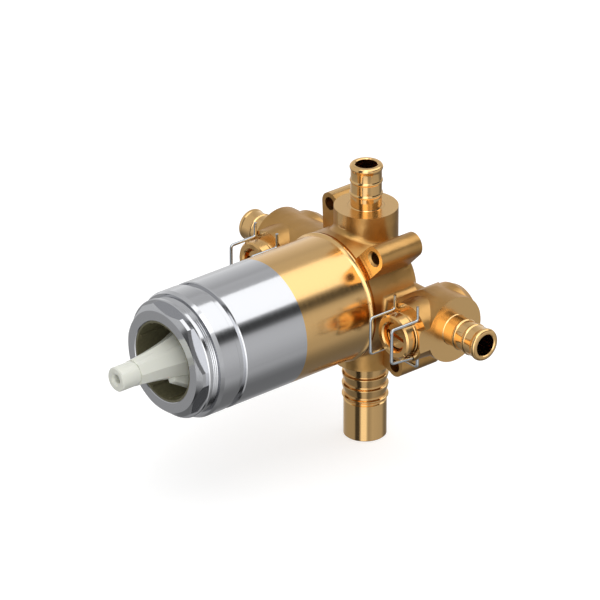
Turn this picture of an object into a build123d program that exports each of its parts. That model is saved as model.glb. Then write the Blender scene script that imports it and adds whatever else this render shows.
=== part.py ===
# Pressure balancing shower valve, rough-in body with cartridge and service stops.
# Millimetres. +Z is up, the user stands on the -Y side, the wall cavity is on the +Y side.
# The origin is where the cartridge axis (Y), the inlet axis (X) and the outlet axis (Z) meet.
# Lengths along the cartridge axis are Y values, so they grow more negative towards the user.

import os
from math import cos, radians, sin

from build123d import *

os.makedirs("parts", exist_ok=True)

# Fits
slip = 0.05              # radial clearance of turned pieces that slide or screw together
free = 0.3               # clearance of pieces that must never touch
ring_slip = 0.05         # clearance of an O-ring from the walls of its groove
edge = 0.6               # usual broken edge of a turned piece

# Cast body: core, hub, outlet bosses and inlet arms
core_r = 24.0
core_front_y = -16.0
core_rear_y = 3.0
core_spare = 8.0         # the core is drawn longer, so that its fillets close, and is then cut off
hub_r = 14.0
hub_rear_y = 12.0
boss_r = 11.7
arm_r = 12.4
top_face_z = 31.5
bottom_face_z = -30.0
inlet_face_x = 48.2
cast_fillet = 2.2

# Turned barrel on the front of the casting
barrel_r = 23.5
barrel_front_y = -47.9
rim_height = 0.8
rim_width = 0.5
rim_slope = 1.1
undercut_width = 1.1
undercut_depth = 0.7
floor_y = -20.0
port_r = 3.0
port_offset = 11.5

# Screw ears on the front and bare lugs at the back, both in opposite pairs
ear_offset = 32.5
ear_angle = 46.0
ear_r = 4.6
ear_hole_r = 2.3
ear_sink_r = 3.0
lug_x = 18.0
lug_z = 25.9
lug_r = 4.2
lug_hole_r = 2.5
lug_front_y = -1.7
lug_rear_y = 16.0
lug_web_step = 1.5

# Service stop chambers, one in each inlet arm
stop_x = 38.5
chamber_r = 12.0
chamber_rear_y = 12.0
chamber_round = 4.2
chamber_front_y = -10.0
collar_r = 10.6
collar_front_y = -16.8
collar_step_y = -13.9
collar_step_z = 4.6
stop_bore_r = 9.05
seat_bore_r = 6.8
seat_bore_front_y = -5.8
seat_y = 4.0
seat_hole_r = 3.6
seat_end_wall = 1.6
passage_y = 6.9
passage_r = 2.6

# Wire retaining clips of the service stops
wire_r = 0.57
wire_slot = 0.7
clip_y = -14.5
clip_leg_x = 6.1
clip_top_z = 12.4
clip_bar_top_z = 6.8
clip_bar_bottom_z = -7.2
clip_bend_in = 0.8       # the right-hand loop leans this far towards the other
clip_bend_down = 0.4
clip_front_y = -26.0
clip_cross_z = -11.5
clip_bend_r = 1.1

# Chrome bonnet sleeve
sleeve_length = 39.3
spigot_step = 2.3        # from the outside of the sleeve in to its spigot
spigot_wall = 2.2
spigot_length = 8.0
spigot_groove_from_face = 3.3
sleeve_chamfer = 1.4
groove_from_front = 8.7
groove_width = 2.8
groove_depth = 1.1
groove_edge = 0.35
nut_thread_step = 1.9    # from the outside of the sleeve in to its thread
nut_thread_length = 10.4

# Retaining nut
nut_bore_r = 15.1
nut_bore_chamfer = 0.2
nut_proud = 7.8
nut_flange_step = 0.4
nut_flange_width = 1.2
nut_thread_shown = 3.0
nut_thread_pitch = 0.8
nut_thread_depth = 0.45
nut_head_step = 0.8
nut_flats = 38.3
nut_cone = 1.9

# Cartridge housing
neck_wall = 0.7
neck_recess = 0.3
front_wall = 5.0
disc_floor_y = -46.0
gasket_thickness = 1.5
spool_y = -33.0
spool_sleeve_r = 7.0
spool_sleeve_wall = 2.3
spool_sleeve_half = 16.0
spool_travel = 2.0
spool_half = 11.0
spool_waist = 1.0
plug_length = 2.0
rib_count = 9
rib_size = 0.5

# Ceramic discs and their driver
disc_r = 13.0
fixed_disc_thickness = 4.0
moving_disc_thickness = 4.0
driver_thickness = 5.0
disc_port_r = 2.6
disc_port_offset = 9.3
tang_width = 7.0
tang_length = 4.0

# Operating stem: a faceted flare that narrows to a plain tip for the handle screw
stem_tip_y = -116.0
stem_tip_r = 4.5
stem_tip_relief_width = 0.4
stem_tip_relief_depth = 0.2
stem_shoulder_r = 5.0
stem_tip_length = 8.0
stem_facets = 8
stem_mid_y = -96.0
stem_mid_r = 6.5
stem_waist_y = -88.0
stem_waist_r = 8.4
stem_base_y = -80.0
stem_base_r = 11.6
stem_shaft_r = 6.0
stem_flange_r = 9.5
stem_flange_thickness = 3.0
stem_screw_r = 1.65
stem_screw_depth = 14.0
stem_lug_r = 13.2
stem_lug_length = 5.0
stem_lug_front_y = -93.5
stem_lug_angle = -60.0
stem_lug_width = 4.2

# Temperature limit ring: two lobes stop the stem's lug
limit_thickness = 2.5
limit_lobe_length = 4.5
limit_lobe_angles = (145.0, 270.0)
limit_lobe_width = 6.4
limit_lobe_depth = 1.6
limit_hole_r = 7.0

# O-rings
ring_section_r = 0.9
small_ring_section_r = 0.7

# Crimp barbs of the two inlets and the shower outlet
barb_rib_r = 6.1
barb_bore_r = 4.0
barb_valley_r = 5.65
barb_length = 16.5
barb_collar_length = 2.9
barb_crests = (5.1, 10.1)
barb_ramp = 3.2
barb_step = 0.25
barb_lip_length = 3.5
barb_spigot_r = 6.6
barb_spigot_length = 6.0
inlet_spigot_r = 5.0
inlet_spigot_length = 4.5

# Tub outlet nipple
nipple_rib_r = 8.55
nipple_tube_r = 7.95
nipple_bore_r = 6.4
nipple_valley_r = 7.8
nipple_neck_r = 7.55
nipple_length = 30.7
nipple_spigot_r = 8.9
nipple_spigot_length = 7.0
nipple_crests = (5.4, 9.8, 14.2)
nipple_ramp = 3.4
nipple_step = 0.35
nipple_neck_from = 15.4
nipple_neck_length = 1.0

# Service stop internals
bonnet_front_y = -16.6
bonnet_front_r = 8.1
bonnet_ring_y = -8.2
gland_length = 4.3
gland_bore_r = 5.4
seam_chamfer = 0.25
screw_r = 5.0
screw_pitch = 1.25
screw_turns = 2.5
screw_front_y = -19.2
screw_slot_width = 1.4
screw_slot_depth = 1.8
screw_slot_angle = 8.0
plunger_r = 5.2
plunger_thickness = 2.4
plunger_pin_r = 2.0
plunger_pin_length = 5.0
washer_r = 4.9
washer_thickness = 1.6
seat_gap = 0.1

# Worked out from the values above
spigot_r = barrel_r - spigot_step
bore_r = spigot_r - spigot_wall
nut_thread_r = barrel_r - nut_thread_step
nut_flange_r = nut_thread_r + nut_flange_step
nut_head_r = nut_thread_r - nut_head_step
sleeve_front_y = barrel_front_y - sleeve_length
nut_front_y = sleeve_front_y - nut_proud
nut_rear_y = sleeve_front_y + nut_thread_length
neck_r = nut_bore_r - slip
neck_front_y = nut_front_y + neck_recess
neck_bore_r = neck_r - neck_wall
housing_r = bore_r - 2 * slip
housing_rear_y = floor_y - gasket_thickness
stem_hole_r = stem_shaft_r + slip
fixed_disc_front_y = disc_floor_y - fixed_disc_thickness
moving_disc_front_y = fixed_disc_front_y - moving_disc_thickness
driver_front_y = moving_disc_front_y - driver_thickness
front_wall_rear_y = nut_rear_y + front_wall
stem_flange_front_y = front_wall_rear_y + 2 * slip
limit_r = neck_bore_r - rib_size - slip
limit_front_y = nut_rear_y - limit_thickness
screw_travel = screw_pitch * screw_turns
screw_rear_y = seat_y - seat_gap - screw_travel - washer_thickness - plunger_thickness
ring_groove_half = ring_section_r + ring_slip
small_ring_groove_half = small_ring_section_r + ring_slip
SIDES = {"left": -1, "right": 1}


def turned(points, plane=Plane.XY, mode=Mode.ADD):
    """Turn a closed outline of (radius, length) points about the plane's own Y axis."""
    with BuildSketch(plane) as outline:
        with BuildLine():
            Polyline(*points, close=True)
        make_face()
    revolve(outline.sketch, axis=Axis(plane.origin, plane.y_dir), mode=mode)


def ring(section_r, mean_r, y, plane=Plane.XY):
    """Turn an O-ring of round section about the plane's own Y axis."""
    with BuildSketch(plane) as section:
        with Locations((mean_r, y)):
            Circle(section_r)
    revolve(section.sketch, axis=Axis(plane.origin, plane.y_dir))


def finish(part, label):
    """Name a finished piece and write it out."""
    part.label = label
    export_step(part, "parts/" + label + ".step")


def stop_plane(side):
    """Plane whose Y axis is the axis of one service stop."""
    return Plane(origin=(side * stop_x, 0, 0))


# Planes whose own Y axis runs out of each port, from the centre of the boss's machined face
top_port = Plane(origin=(0, 0, top_face_z), x_dir=(1, 0, 0), z_dir=(0, -1, 0))
bottom_port = Plane(origin=(0, 0, bottom_face_z), x_dir=(1, 0, 0), z_dir=(0, 1, 0))
inlet_ports = {
    "left": Plane(origin=(-inlet_face_x, 0, 0), x_dir=(0, 0, 1), z_dir=(0, -1, 0)),
    "right": Plane(origin=(inlet_face_x, 0, 0), x_dir=(0, 0, 1), z_dir=(0, 1, 0)),
}


# Valve body: one brass casting with a turned barrel
chamber_outline = [
    (0, collar_front_y),
    (collar_r - 0.6, collar_front_y),
    (collar_r, collar_front_y + 0.6),
    (collar_r, chamber_front_y - 1.0),
    (collar_r + 0.2, chamber_front_y),
    (chamber_r, chamber_rear_y - chamber_round),
    (chamber_r - chamber_round / 3, chamber_rear_y - chamber_round / 3),
    (chamber_r - chamber_round, chamber_rear_y),
    (0, chamber_rear_y),
]

# The casting steps in behind the core, but not where a boss, an arm or a lug web runs back
with BuildPart() as rear_relief:
    with BuildSketch(Plane.XZ.offset(-core_rear_y)):
        Circle(core_r + 2 * cast_fillet)
        Circle(hub_r, mode=Mode.SUBTRACT)
    extrude(amount=core_rear_y - hub_rear_y)
    Cylinder(boss_r, 4 * core_r, mode=Mode.SUBTRACT)
    Cylinder(arm_r, 4 * core_r, rotation=(0, 90, 0), mode=Mode.SUBTRACT)
    with BuildSketch(Plane.XZ.offset(-hub_rear_y)):
        Circle(core_r + 2 * cast_fillet)
    extrude(amount=-2 * core_spare)

with BuildPart() as valve_body:
    with BuildSketch(Plane.XZ.offset(-core_front_y)):
        Circle(core_r)
    extrude(amount=core_front_y - hub_rear_y - core_spare)
    with BuildSketch(Plane.XY.offset(bottom_face_z)):
        Circle(boss_r)
    extrude(amount=top_face_z - bottom_face_z)
    with BuildSketch(Plane.YZ.offset(-inlet_face_x)):
        Circle(arm_r)
    extrude(amount=2 * inlet_face_x)
    saddles = valve_body.edges().filter_by(GeomType.BSPLINE)
    fillet(saddles, radius=cast_fillet)
    add(rear_relief.part, mode=Mode.SUBTRACT)
    for side in SIDES.values():
        turned(chamber_outline, stop_plane(side))
    # Ears with parallel sides that run radially into the core, rounded off at the back
    with BuildSketch(Plane.XZ.offset(-core_front_y)):
        for turn in (0, 180):
            with Locations(Rot(0, 0, ear_angle + turn) * Pos(ear_offset, 0)):
                Circle(ear_r)
            with Locations(Rot(0, 0, ear_angle + turn)):
                Rectangle(ear_offset, 2 * ear_r, align=(Align.MIN, Align.CENTER))
    extrude(amount=core_front_y - core_rear_y)
    # Lugs, each with a web down to the body and across to its outlet boss
    with BuildSketch(Plane.XZ.offset(-lug_front_y)):
        for turn in (0, 180):
            with Locations(Rot(0, 0, turn) * Pos(-lug_x, lug_z)):
                Circle(lug_r)
    extrude(amount=lug_front_y - lug_rear_y)
    with BuildSketch(Plane.XZ.offset(-lug_front_y)):
        for turn in (0, 180):
            with Locations(Rot(0, 0, turn)):
                Polygon(
                    (-lug_x - lug_r, lug_z),
                    (-lug_x - lug_r + lug_web_step, 0),
                    (0, 0),
                    (0, lug_z - lug_web_step),
                    (-lug_x, lug_z + lug_r),
                    align=None,
                )
    extrude(amount=lug_front_y - hub_rear_y)
    # Machined inlet faces
    for side in SIDES.values():
        split(bisect_by=Plane.YZ.offset(side * inlet_face_x), keep=Keep.BOTTOM if side > 0 else Keep.TOP)
    # Barrel: undercut, thin raised rim, then a plain turned tube
    rim_rear_y = core_front_y - undercut_width
    turned([
        (0, core_front_y + 1.0),
        (barrel_r - undercut_depth, core_front_y + 1.0),
        (barrel_r - undercut_depth, rim_rear_y),
        (barrel_r + rim_height, rim_rear_y),
        (barrel_r + rim_height, rim_rear_y - rim_width),
        (barrel_r + rim_height / 3, rim_rear_y - rim_width - rim_slope / 2),
        (barrel_r, rim_rear_y - rim_width - rim_slope),
        (barrel_r, barrel_front_y),
        (0, barrel_front_y),
    ])
    # Cartridge bore and the counterbore that takes the sleeve's spigot
    turned([
        (0, floor_y),
        (bore_r, floor_y),
        (bore_r, barrel_front_y + spigot_length + slip),
        (spigot_r + slip, barrel_front_y + spigot_length + slip),
        (spigot_r + slip, barrel_front_y - 1.0),
        (0, barrel_front_y - 1.0),
    ], mode=Mode.SUBTRACT)
    # Ports in the floor: hot and cold from the sides, shower above, tub below
    with BuildSketch(Plane.XZ.offset(1.0 - floor_y)):
        with PolarLocations(port_offset, 4):
            Circle(port_r)
    extrude(amount=floor_y - 1.0, mode=Mode.SUBTRACT)
    with BuildSketch(Plane.XZ.offset(1.0 - floor_y)):
        with Locations((port_offset, 0), (-port_offset, 0)):
            Circle(port_r)
    extrude(amount=floor_y - 1.0 - passage_y, mode=Mode.SUBTRACT)
    for z, port, spigot_radius, spigot_depth in (
        (top_face_z, top_port, barb_spigot_r, barb_spigot_length),
        (bottom_face_z, bottom_port, nipple_spigot_r, nipple_spigot_length),
    ):
        turned([
            (0, 1.0),
            (spigot_radius + slip, 1.0),
            (spigot_radius + slip, -spigot_depth - slip),
            (port_r + 1.0, -spigot_depth - slip),
            (port_r + 1.0, port_offset - abs(z)),
            (0, port_offset - abs(z)),
        ], port, mode=Mode.SUBTRACT)
    # Inlet arms and stop chambers
    for name, side in SIDES.items():
        turned([
            (0, 1.0),
            (inlet_spigot_r + slip, 1.0),
            (inlet_spigot_r + slip, -inlet_spigot_length - slip),
            (barb_bore_r, -inlet_spigot_length - slip),
            (barb_bore_r, stop_x - inlet_face_x),
            (0, stop_x - inlet_face_x),
        ], inlet_ports[name], mode=Mode.SUBTRACT)
        turned([
            (0, collar_front_y - 1.0),
            (stop_bore_r, collar_front_y - 1.0),
            (stop_bore_r, seat_bore_front_y),
            (seat_bore_r, seat_bore_front_y),
            (seat_bore_r, seat_y),
            (seat_hole_r, seat_y),
            (seat_hole_r, chamber_rear_y - seat_end_wall),
            (0, chamber_rear_y - seat_end_wall),
        ], stop_plane(side), mode=Mode.SUBTRACT)
        with BuildSketch(Plane.YZ.offset(side * port_offset)):
            with Locations((passage_y, 0)):
                Circle(passage_r)
        extrude(amount=side * (stop_x - port_offset), mode=Mode.SUBTRACT)
        # Collar: its top is cut back, and slots and windows let the wire clip through
        with Locations((side * stop_x, collar_step_y, collar_step_z)):
            Box(
                2 * collar_r + edge, chamber_r, 2 * collar_r,
                align=(Align.CENTER, Align.MAX, Align.MIN), mode=Mode.SUBTRACT,
            )
        for up in (-1, 1):
            with Locations((side * stop_x, clip_y, up * (stop_bore_r - 3.2))):
                Box(
                    2 * clip_leg_x + 2 * wire_slot, 2 * wire_slot, collar_r,
                    align=(Align.CENTER, Align.CENTER, Align.MIN if up > 0 else Align.MAX),
                    mode=Mode.SUBTRACT,
                )
        for leg in (-1, 1):
            for bar_z in (clip_bar_top_z, clip_bar_bottom_z):
                with Locations((side * stop_x + leg * clip_leg_x, clip_y + wire_slot, bar_z)):
                    Box(
                        2 * wire_slot, clip_y - collar_front_y + 1.0, 2 * wire_slot,
                        align=(Align.CENTER, Align.MAX, Align.CENTER), mode=Mode.SUBTRACT,
                    )
    # Ear and lug holes
    for turn in (0, 180):
        with Locations(Plane.XZ.offset(-core_front_y)):
            with Locations(Rot(0, 0, ear_angle + turn) * Pos(ear_offset, 0)):
                CounterSinkHole(ear_hole_r, ear_sink_r, depth=core_rear_y - core_front_y + 1.0)
        with Locations(Plane.XZ.offset(-lug_front_y)):
            with Locations(Rot(0, 0, turn) * Pos(-lug_x, lug_z)):
                Hole(lug_hole_r, depth=lug_rear_y - lug_front_y + 1.0)

finish(valve_body.part, "valve_body")


# Bonnet sleeve: chromed tube that screws into the barrel and carries the retaining nut
groove_rear_y = sleeve_front_y + groove_from_front + groove_width
spigot_ring_y = barrel_front_y + spigot_groove_from_face + ring_groove_half
with BuildPart() as bonnet_sleeve:
    turned([
        (barrel_r, barrel_front_y),
        (barrel_r, groove_rear_y + groove_edge),
        (barrel_r - groove_edge, groove_rear_y),
        (barrel_r - groove_depth, groove_rear_y),
        (barrel_r - groove_depth, groove_rear_y - groove_width),
        (barrel_r - groove_edge, groove_rear_y - groove_width),
        (barrel_r, groove_rear_y - groove_width - groove_edge),
        (barrel_r, sleeve_front_y + sleeve_chamfer),
        (barrel_r - sleeve_chamfer / 2, sleeve_front_y),
        (nut_thread_r, sleeve_front_y),
        (nut_thread_r, nut_rear_y + 1.0),
        (bore_r, nut_rear_y + 1.0),
        (bore_r, barrel_front_y + spigot_length),
        (spigot_r, barrel_front_y + spigot_length),
        (spigot_r, spigot_ring_y + ring_groove_half),
        (spigot_r - 2 * ring_section_r + ring_slip, spigot_ring_y + ring_groove_half),
        (spigot_r - 2 * ring_section_r + ring_slip, spigot_ring_y - ring_groove_half),
        (spigot_r, spigot_ring_y - ring_groove_half),
        (spigot_r, barrel_front_y),
    ])
finish(bonnet_sleeve.part, "bonnet_sleeve")

with BuildPart() as sleeve_o_ring:
    ring(ring_section_r, spigot_r - ring_section_r + ring_slip, spigot_ring_y)
finish(sleeve_o_ring.part, "sleeve_o_ring")


# Retaining nut: hexagon with rounded corners, fine outside thread, plain bore
thread_start_y = sleeve_front_y - nut_thread_shown
thread_points = [(nut_thread_r - slip, nut_rear_y)]
y = sleeve_front_y + 2 * nut_thread_pitch
while y > thread_start_y + nut_thread_pitch:
    thread_points += [
        (nut_thread_r - slip, y),
        (nut_thread_r - slip - nut_thread_depth, y - nut_thread_pitch / 2),
    ]
    y -= nut_thread_pitch
flange_front_y = thread_start_y - nut_flange_width
with BuildPart() as nut_head:
    with BuildSketch(Plane.XZ.offset(-flange_front_y)):
        Circle(nut_head_r)
        RegularPolygon(nut_flats / 2, 6, major_radius=False, mode=Mode.INTERSECT)
    extrude(amount=flange_front_y - nut_front_y)
    turned([
        (0, flange_front_y),
        (nut_head_r + edge, flange_front_y),
        (nut_head_r + edge, nut_front_y + nut_cone),
        (nut_head_r - nut_cone, nut_front_y),
        (0, nut_front_y),
    ], mode=Mode.INTERSECT)

with BuildPart() as retaining_nut:
    turned(thread_points + [
        (nut_thread_r - slip, y),
        (nut_thread_r - slip, thread_start_y),
        (nut_flange_r, thread_start_y - slip),
        (nut_flange_r, flange_front_y + edge / 2),
        (nut_flange_r - edge / 2, flange_front_y),
        (nut_bore_r, flange_front_y),
        (nut_bore_r, nut_rear_y),
    ])
    add(nut_head.part)
    turned([
        (0, flange_front_y + edge),
        (nut_bore_r, flange_front_y + edge),
        (nut_bore_r, nut_front_y + nut_bore_chamfer),
        (nut_bore_r + nut_bore_chamfer, nut_front_y),
        (nut_bore_r + nut_bore_chamfer, nut_front_y - edge),
        (0, nut_front_y - edge),
    ], mode=Mode.SUBTRACT)
finish(retaining_nut.part, "retaining_nut")


# Barbs and nipple
def barb_rib(outer_r, valley_r, crest, step, ramp):
    """One rib: a sharp step that faces the boss, and a long ramp down towards the mouth."""
    return [
        (valley_r, crest - step),
        (outer_r - step / 2, crest - step / 3),
        (outer_r, crest),
        (outer_r, crest + step),
        (valley_r, crest + ramp),
    ]


def crimp_barb(plane, spigot_r, spigot_length):
    """A turned barb with a rounded mouth lip, seen from its boss face outward."""
    lip = barb_length - barb_lip_length
    turned([
        (barb_bore_r, -spigot_length),
        (spigot_r, -spigot_length),
        (spigot_r, 0),
        (barb_rib_r, 0),
        (barb_rib_r, barb_collar_length),
        (barb_valley_r + barb_step, barb_collar_length),
        (barb_valley_r + barb_step, barb_crests[0] - 2 * barb_step),
        *barb_rib(barb_rib_r, barb_valley_r, barb_crests[0], barb_step, barb_ramp),
        *barb_rib(barb_rib_r, barb_valley_r, barb_crests[1], barb_step, barb_ramp - 2 * barb_step),
        (barb_valley_r, lip),
        (barb_rib_r - barb_step, lip + edge / 2),
        (barb_rib_r, lip + 1.5 * edge),
        (barb_rib_r, barb_length - 2.8 * edge),
        (barb_rib_r - edge / 2, barb_length - 1.4 * edge),
        (barb_rib_r - 1.6 * edge, barb_length),
        (barb_bore_r + barb_step, barb_length),
        (barb_bore_r, barb_length - barb_step),
    ], plane)


with BuildPart() as shower_outlet_barb:
    crimp_barb(top_port, barb_spigot_r, barb_spigot_length)
finish(shower_outlet_barb.part, "shower_outlet_barb")

for name in SIDES:
    with BuildPart() as inlet_barb:
        crimp_barb(inlet_ports[name], inlet_spigot_r, inlet_spigot_length)
    finish(inlet_barb.part, name + "_inlet_barb")

with BuildPart() as tub_outlet_nipple:
    rib_outline = []
    for crest in nipple_crests:
        rib_outline += barb_rib(nipple_rib_r, nipple_valley_r, crest, nipple_step, nipple_ramp)
    neck_end = nipple_neck_from + nipple_neck_length
    turned([
        (nipple_bore_r, -nipple_spigot_length),
        (nipple_spigot_r, -nipple_spigot_length),
        (nipple_spigot_r, 0),
        (nipple_rib_r, 0),
        (nipple_rib_r, nipple_step),
        (nipple_valley_r, nipple_crests[0] - 2 * nipple_step),
        *rib_outline[:-1],
        (nipple_valley_r, nipple_neck_from - nipple_step / 2),
        (nipple_neck_r, nipple_neck_from + nipple_step / 2),
        (nipple_neck_r, neck_end - nipple_step),
        (nipple_tube_r, neck_end),
        (nipple_tube_r, nipple_length - edge / 2),
        (nipple_tube_r - edge / 2, nipple_length),
        (nipple_bore_r, nipple_length),
    ], bottom_port)
finish(tub_outlet_nipple.part, "tub_outlet_nipple")


# Cartridge housing
ring_front_y = nut_rear_y + 4.0
ring_rear_y = housing_rear_y - 4.0
groove_r = housing_r - 2 * ring_section_r + ring_slip


def ring_groove(y):
    """Outline points of an O-ring groove round the housing, walked from the front to the back."""
    return [
        (housing_r, y - ring_groove_half),
        (groove_r, y - ring_groove_half),
        (groove_r, y + ring_groove_half),
        (housing_r, y + ring_groove_half),
    ]


with BuildPart() as cartridge_housing:
    turned([
        (0, housing_rear_y),
        (0, disc_floor_y),
        (disc_r + slip, disc_floor_y),
        (disc_r + slip, front_wall_rear_y),
        (stem_hole_r, front_wall_rear_y),
        (stem_hole_r, nut_rear_y),
        (neck_bore_r, nut_rear_y),
        (neck_bore_r, neck_front_y),
        (neck_r, neck_front_y),
        (neck_r, nut_rear_y),
        (housing_r, nut_rear_y),
        *ring_groove(ring_front_y),
        *ring_groove(ring_rear_y),
        (housing_r, housing_rear_y),
    ])
    with BuildSketch(Plane.YZ.offset(-housing_r)):
        with Locations((spool_y, 0)):
            Circle(spool_sleeve_r + slip)
    extrude(amount=2 * housing_r, mode=Mode.SUBTRACT)
    with BuildSketch(Plane.XZ.offset(-housing_rear_y - 1.0)):
        with PolarLocations(port_offset, 4):
            Circle(port_r)
    extrude(amount=housing_rear_y - disc_floor_y + 1.0, mode=Mode.SUBTRACT)
    with BuildSketch(Plane.XZ.offset(-nut_rear_y)):
        with PolarLocations(neck_bore_r, rib_count):
            Rectangle(2 * rib_size, 2 * rib_size)
    extrude(amount=nut_rear_y - neck_front_y - 1.0)
finish(cartridge_housing.part, "cartridge_housing")

for name, ring_y in (("cartridge_front_o_ring", ring_front_y), ("cartridge_rear_o_ring", ring_rear_y)):
    with BuildPart() as housing_ring:
        ring(ring_section_r, housing_r - ring_section_r + ring_slip, ring_y)
    finish(housing_ring.part, name)

with BuildPart() as port_gasket:
    with BuildSketch(Plane.XZ.offset(-floor_y)):
        Circle(housing_r - 1.0)
        with PolarLocations(port_offset, 4):
            Circle(port_r, mode=Mode.SUBTRACT)
    extrude(amount=gasket_thickness)
finish(port_gasket.part, "port_gasket")


# Ceramic discs, their driver and the stem
with BuildPart() as fixed_ceramic_disc:
    with BuildSketch(Plane.XZ.offset(-disc_floor_y)):
        Circle(disc_r)
        with PolarLocations(disc_port_offset, 4):
            Circle(disc_port_r, mode=Mode.SUBTRACT)
    extrude(amount=fixed_disc_thickness)
finish(fixed_ceramic_disc.part, "fixed_ceramic_disc")

with BuildPart() as moving_ceramic_disc:
    with BuildSketch(Plane.XZ.offset(-fixed_disc_front_y)):
        Circle(disc_r - slip)
        with PolarLocations(disc_port_offset, 2, start_angle=45):
            Circle(disc_port_r, mode=Mode.SUBTRACT)
    extrude(amount=moving_disc_thickness)
finish(moving_ceramic_disc.part, "moving_ceramic_disc")

with BuildPart() as disc_driver:
    with BuildSketch(Plane.XZ.offset(-moving_disc_front_y)):
        Circle(disc_r - free)
        Rectangle(tang_width + 2 * slip, tang_width + 2 * slip, mode=Mode.SUBTRACT)
    extrude(amount=driver_thickness)
    with BuildSketch(Plane.XZ.offset(-moving_disc_front_y)):
        Circle(disc_r - free)
        Circle(disc_r - 3.0, mode=Mode.SUBTRACT)
    extrude(amount=driver_thickness + 3.0)
finish(disc_driver.part, "disc_driver")

with BuildPart() as stem:
    for section_y, section_r in (
        (stem_base_y, stem_base_r),
        (stem_waist_y, stem_waist_r),
        (stem_mid_y, stem_mid_r),
        (stem_tip_y + stem_tip_length, stem_shoulder_r),
    ):
        with BuildSketch(Plane.XZ.offset(-section_y)):
            RegularPolygon(section_r, stem_facets, rotation=11)
    loft()
    turned([
        (0, driver_front_y),
        (stem_shaft_r, driver_front_y),
        (stem_shaft_r, stem_flange_front_y + stem_flange_thickness),
        (stem_flange_r, stem_flange_front_y + stem_flange_thickness),
        (stem_flange_r, stem_flange_front_y),
        (stem_shaft_r, stem_flange_front_y),
        (stem_shaft_r, nut_rear_y + front_wall / 2 + small_ring_groove_half),
        (stem_shaft_r - 2 * small_ring_section_r + ring_slip, nut_rear_y + front_wall / 2 + small_ring_groove_half),
        (stem_shaft_r - 2 * small_ring_section_r + ring_slip, nut_rear_y + front_wall / 2 - small_ring_groove_half),
        (stem_shaft_r, nut_rear_y + front_wall / 2 - small_ring_groove_half),
        (stem_shaft_r, stem_base_y - 0.5),
        (0, stem_base_y - 0.5),
    ])
    turned([
        (0, stem_tip_y + stem_tip_length + 1.0),
        (stem_tip_r - stem_tip_relief_depth, stem_tip_y + stem_tip_length + 1.0),
        (stem_tip_r - stem_tip_relief_depth, stem_tip_y + stem_tip_length - stem_tip_relief_width),
        (stem_tip_r, stem_tip_y + stem_tip_length - stem_tip_relief_width),
        (stem_tip_r, stem_tip_y + 0.4),
        (stem_tip_r - 0.4, stem_tip_y),
        (0, stem_tip_y),
    ])
    with BuildSketch(Plane.XZ.offset(-driver_front_y)):
        Rectangle(tang_width, tang_width)
    extrude(amount=-tang_length)
    # Stop lug: a fin that runs down the flare and ends in a block at the base
    lug_plane = Plane(
        origin=(0, 0, 0),
        x_dir=(cos(radians(stem_lug_angle)), 0, sin(radians(stem_lug_angle))),
        z_dir=(-sin(radians(stem_lug_angle)), 0, cos(radians(stem_lug_angle))),
    )
    with BuildSketch(lug_plane):
        Polygon(
            (stem_shaft_r, stem_base_y),
            (stem_lug_r, stem_base_y),
            (stem_lug_r, stem_base_y - stem_lug_length),
            (stem_mid_r + 1.5, stem_lug_front_y),
            (stem_mid_r - 1.5, stem_lug_front_y),
            align=None,
        )
    extrude(amount=stem_lug_width / 2, both=True)
    with Locations(Plane(origin=(0, stem_tip_y, 0), x_dir=(1, 0, 0), z_dir=(0, -1, 0))):
        CounterSinkHole(stem_screw_r, stem_screw_r + 0.8, depth=stem_screw_depth)
finish(stem.part, "stem")

with BuildPart() as stem_o_ring:
    ring(small_ring_section_r, stem_shaft_r - small_ring_section_r + ring_slip, nut_rear_y + front_wall / 2)
finish(stem_o_ring.part, "stem_o_ring")

with BuildPart() as temperature_limit_ring:
    with BuildSketch(Plane.XZ.offset(-nut_rear_y)):
        Circle(limit_r)
        Circle(limit_hole_r, mode=Mode.SUBTRACT)
    extrude(amount=limit_thickness)
    with BuildSketch(Plane.XZ.offset(-limit_front_y)):
        for angle in limit_lobe_angles:
            with Locations(Rot(0, 0, angle)):
                Rectangle(limit_r, limit_lobe_width, align=(Align.MIN, Align.CENTER))
        Circle(limit_r, mode=Mode.INTERSECT)
        Circle(limit_r - limit_lobe_depth, mode=Mode.SUBTRACT)
    extrude(amount=limit_lobe_length)
finish(temperature_limit_ring.part, "temperature_limit_ring")


# Pressure balancing spool in its sleeve, across the cartridge
spool_plane = Plane(origin=(0, spool_y, 0), x_dir=(0, 0, 1), z_dir=(0, 1, 0))
spool_bore_r = spool_sleeve_r - spool_sleeve_wall
spool_r = spool_bore_r - slip
spool_end = spool_half + spool_travel + free
with BuildPart() as spool_sleeve:
    turned([
        (0, -spool_sleeve_half),
        (spool_sleeve_r, -spool_sleeve_half),
        (spool_sleeve_r, spool_sleeve_half),
        (spool_bore_r, spool_sleeve_half),
        (spool_bore_r, -spool_end),
        (0, -spool_end),
    ], spool_plane)
    with BuildSketch(Plane.XZ.offset(-spool_y - spool_sleeve_r - 1.0)):
        with Locations((-spool_half / 2, 0), (0, 0), (spool_half / 2, 0)):
            Circle(1.4)
    extrude(amount=2 * spool_sleeve_r + 2.0, mode=Mode.SUBTRACT)
finish(spool_sleeve.part, "spool_sleeve")

with BuildPart() as balance_spool:
    turned([
        (0, -spool_half),
        (spool_r - 0.3, -spool_half),
        (spool_r, -spool_half + 0.3),
        (spool_r, -spool_half + 3.0),
        (spool_r - spool_waist, -spool_half + 3.0),
        (spool_r - spool_waist, -2.0),
        (spool_r, -2.0),
        (spool_r, 2.0),
        (spool_r - spool_waist, 2.0),
        (spool_r - spool_waist, spool_half - 3.0),
        (spool_r, spool_half - 3.0),
        (spool_r, spool_half - 0.3),
        (spool_r - 0.3, spool_half),
        (0, spool_half),
    ], spool_plane)
finish(balance_spool.part, "balance_spool")

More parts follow.
